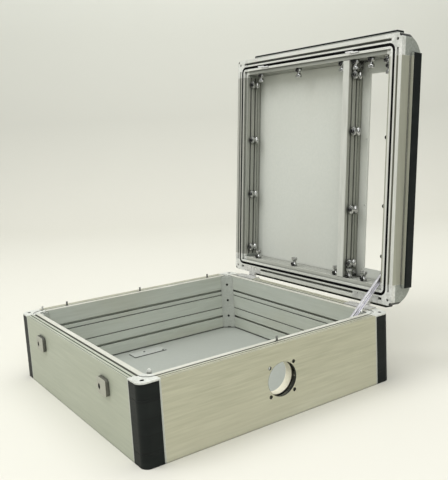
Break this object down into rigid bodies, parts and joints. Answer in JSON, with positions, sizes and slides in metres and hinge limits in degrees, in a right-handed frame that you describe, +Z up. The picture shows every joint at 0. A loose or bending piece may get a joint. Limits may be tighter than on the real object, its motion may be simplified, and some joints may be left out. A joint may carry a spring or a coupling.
{
  "type": "control cabinet",
  "caption": "Flat hinged control cabinet of hollow extruded walls with black corner covers, a framed lid with a panel and a window bay, a round coupling hole and cam locks.",
  "frame": {"origin": "middle of the box's base, on the surface it stands on", "axes": "+X towards the wall with the coupling hole, along the hinge line; +Y towards the hinge wall; +Z up"},
  "size_m": [0.573, 0.6624, 0.6882],
  "materials": {
    "wall_aluminium": "brushed, anodised warm grey, lightly scuffed",
    "rail_aluminium": "extruded, anodised, fine lines along the length",
    "panel_sheet": "satin light grey sheet",
    "casting": "die cast, pale grey, slightly rough",
    "charcoal_plastic": "matte charcoal, fine grain",
    "gasket_rubber": "matte black",
    "zinc_steel": "bright zinc plating",
    "lock_metal": "satin warm grey",
    "cream_plastic": "matte cream"
  },
  "bodies": {
    "cabinet_box": {"wall_hinge_side": "wall_aluminium", "wall_lock_side": "wall_aluminium", "wall_coupling_side": "wall_aluminium", "wall_plain_side": "wall_aluminium", "corner_post_lock_left": "casting", "corner_post_lock_right": "casting", "corner_post_hinge_left": "casting", "corner_post_hinge_right": "casting", "corner_cover_lock_left": "charcoal_plastic", "corner_cover_lock_right": "charcoal_plastic", "corner_cover_hinge_left": "charcoal_plastic", "corner_cover_hinge_right": "charcoal_plastic", "rim_corner_lock_left": "casting", "rim_corner_lock_right": "casting", "rim_corner_hinge_left": "casting", "rim_corner_hinge_right": "casting", "back_panel": "panel_sheet", "floor_plate": "panel_sheet", "coupling_liner": "cream_plastic", "rim_pins": "zinc_steel", "lock_housing_left": "lock_metal", "lock_housing_right": "lock_metal", "hinge_leaf_box_left": "zinc_steel", "hinge_leaf_box_right": "zinc_steel", "hinge_pin_left": "zinc_steel", "hinge_pin_right": "zinc_steel", "hinge_screws_box": "zinc_steel", "stay_stud": "zinc_steel"},
    "lid": {"lid_rail_hinge": "rail_aluminium", "lid_rail_lock": "rail_aluminium", "lid_rail_left": "rail_aluminium", "lid_rail_right": "rail_aluminium", "lid_corner_lock_left": "casting", "lid_corner_lock_right": "casting", "lid_corner_hinge_left": "casting", "lid_corner_hinge_right": "casting", "grip_strip_hinge": "charcoal_plastic", "grip_strip_lock": "charcoal_plastic", "grip_strip_left": "charcoal_plastic", "grip_strip_right": "charcoal_plastic", "lid_gasket": "gasket_rubber", "divider_bar": "rail_aluminium", "divider_brackets": "casting", "main_panel": "panel_sheet", "window_plate": "panel_sheet", "panel_clamps": "zinc_steel", "clamp_screws": "zinc_steel", "lid_catch_left": "zinc_steel", "lid_catch_right": "zinc_steel", "hinge_leaf_lid_left": "zinc_steel", "hinge_leaf_lid_right": "zinc_steel", "hinge_screws_lid": "zinc_steel", "stay_bracket": "zinc_steel"},
    "stay_arm": {"stay_arm": "zinc_steel"},
    "lock_left": {"lock_barrel_left": "zinc_steel"},
    "lock_right": {"lock_barrel_right": "zinc_steel"}
  },
  "joints": [
    {"name": "lid_hinge", "type": "hinge", "parent": "cabinet_box", "child": "lid", "pos_m": [0, 0.2785, 0.1355], "axis": [1, 0, 0], "range_deg": [0, 94.5]},
    {"name": "stay_pivot", "type": "hinge", "parent": "lid", "child": "stay_arm", "pos_m": [0.234, 0.30481, 0.20214], "axis": [1, 0, 0], "range_deg": [-60.8, 0]},
    {"name": "lock_turn_left", "type": "hinge", "parent": "cabinet_box", "child": "lock_left", "pos_m": [-0.16, -0.272, 0.0997], "axis": [0, -1, 0], "range_deg": [0, 90]},
    {"name": "lock_turn_right", "type": "hinge", "parent": "cabinet_box", "child": "lock_right", "pos_m": [0.144, -0.272, 0.0997], "axis": [0, -1, 0], "range_deg": [0, 90]}
  ],
  "couplings": [
    {"joint": "stay_pivot", "follows": "lid_hinge", "ratio": -0.643}
  ]
}
